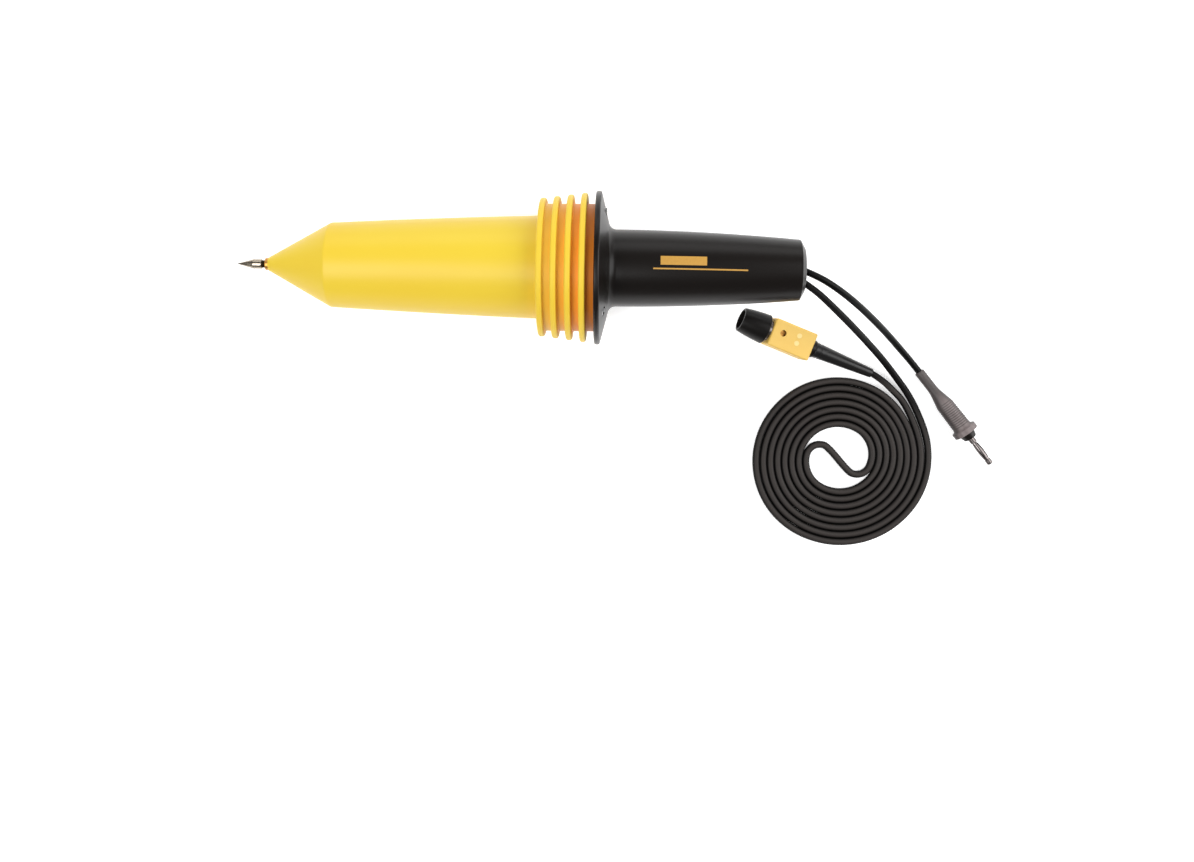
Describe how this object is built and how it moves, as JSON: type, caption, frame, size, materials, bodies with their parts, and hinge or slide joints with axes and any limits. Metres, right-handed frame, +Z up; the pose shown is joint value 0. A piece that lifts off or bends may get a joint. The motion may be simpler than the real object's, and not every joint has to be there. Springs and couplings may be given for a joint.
{
  "type": "high-voltage oscilloscope probe",
  "caption": "High-voltage oscilloscope probe: cone-nosed barrel, finned guard collar, black handle, coiled coax lead with a compensation box and bayonet plug, and a ground lead.",
  "frame": {"origin": "on the bench under the middle of the probe body, which lies nose down on its flange and shoulder; the leads and what is on them don't count", "axes": "+X from the needle to the cable end, +Y to the left of it, +Z up from the bench"},
  "size_m": [0.4547, 0.2078, 0.0879],
  "materials": {
    "tip_steel": "polished steel",
    "brass": "turned brass",
    "nickel": "nickel plate",
    "yellow_barrel": "gloss moulding, lightly marbled",
    "yellow_collar": "gloss moulding",
    "black_handle": "satin to gloss moulding",
    "white_ceramic": null,
    "natural_plastic": "natural moulding",
    "aluminium": "thin tube",
    "gasket_rubber": "soft rubber",
    "board": "laminate",
    "components": "small components",
    "screw_steel": "zinc plate",
    "black_shroud": "fine satin",
    "white_insulator": "fluoropolymer",
    "gold_contact": "gold plate",
    "box_yellow": "fine matt moulding",
    "plug_pale": "pale moulding",
    "trimmer_amber": "amber moulding",
    "black_boot": "soft moulding",
    "grip_grey": "matt moulding",
    "cable_grey": "smooth jacket",
    "cable_black": "smooth jacket"
  },
  "bodies": {
    "probe": {"probe_tip": "tip_steel", "tip_socket": "brass", "barrel_shell": "yellow_barrel", "input_rod": "brass", "divider_resistor": "white_ceramic", "resistor_front_cap": "nickel", "resistor_rear_cap": "nickel", "insulating_sleeve": "natural_plastic", "front_spider": "natural_plastic", "rear_spider": "natural_plastic", "screen_tube": "aluminium", "rear_bulkhead": "natural_plastic", "output_lead": "brass", "guard_collar": "yellow_collar", "flange_gasket": "gasket_rubber", "handle_shell": "black_handle", "flange_screws": "screw_steel", "end_cap": "black_handle", "signal_tail": "cable_grey", "ground_tail": "cable_black", "divider_board": "board", "board_parts": "components", "board_screws": "screw_steel", "cable_clamp": "natural_plastic", "clamp_screws": "screw_steel", "lead_terminals": "nickel", "bnc_body": "nickel", "bnc_nut": "nickel", "bnc_thrust_washer": "nickel", "bnc_spring_washer": "nickel", "bnc_insulator": "white_insulator", "bnc_centre_pin": "gold_contact", "comp_box_base": "box_yellow", "comp_box_lid": "box_yellow", "box_port_plugs": "plug_pale", "comp_box_screws": "screw_steel", "comp_board": "board", "comp_board_parts": "components", "trimmer_body": "trimmer_amber", "strain_relief_boot": "black_boot", "boot_nut": "black_handle", "box_tail": "cable_grey", "signal_lead_out": "cable_grey", "signal_coil": "cable_grey", "signal_lead_in": "cable_grey", "ground_lead": "cable_black", "ground_plug_grip": "grip_grey", "ground_plug_insulator": "black_handle", "ground_plug_pin": "nickel", "ground_plug_spring": "nickel", "plug_lead_end": "cable_black"},
    "bnc_coupling": {"bnc_shroud": "black_shroud", "bnc_coupling_sleeve": "nickel"},
    "trimmer": {"trimmer_rotor": "brass"}
  },
  "joints": [
    {"name": "bnc_coupling_turn", "type": "hinge", "parent": "probe", "child": "bnc_coupling", "pos_m": [0.14086, -0.02886, 0.00983], "axis": [-0.9307, 0.361, 0.0597], "continuous": true},
    {"name": "trimmer_turn", "type": "hinge", "parent": "probe", "child": "trimmer", "pos_m": [0.16179, -0.03559, 0.01172], "axis": [0.0557, -0.0216, 0.9982], "continuous": true}
  ]
}
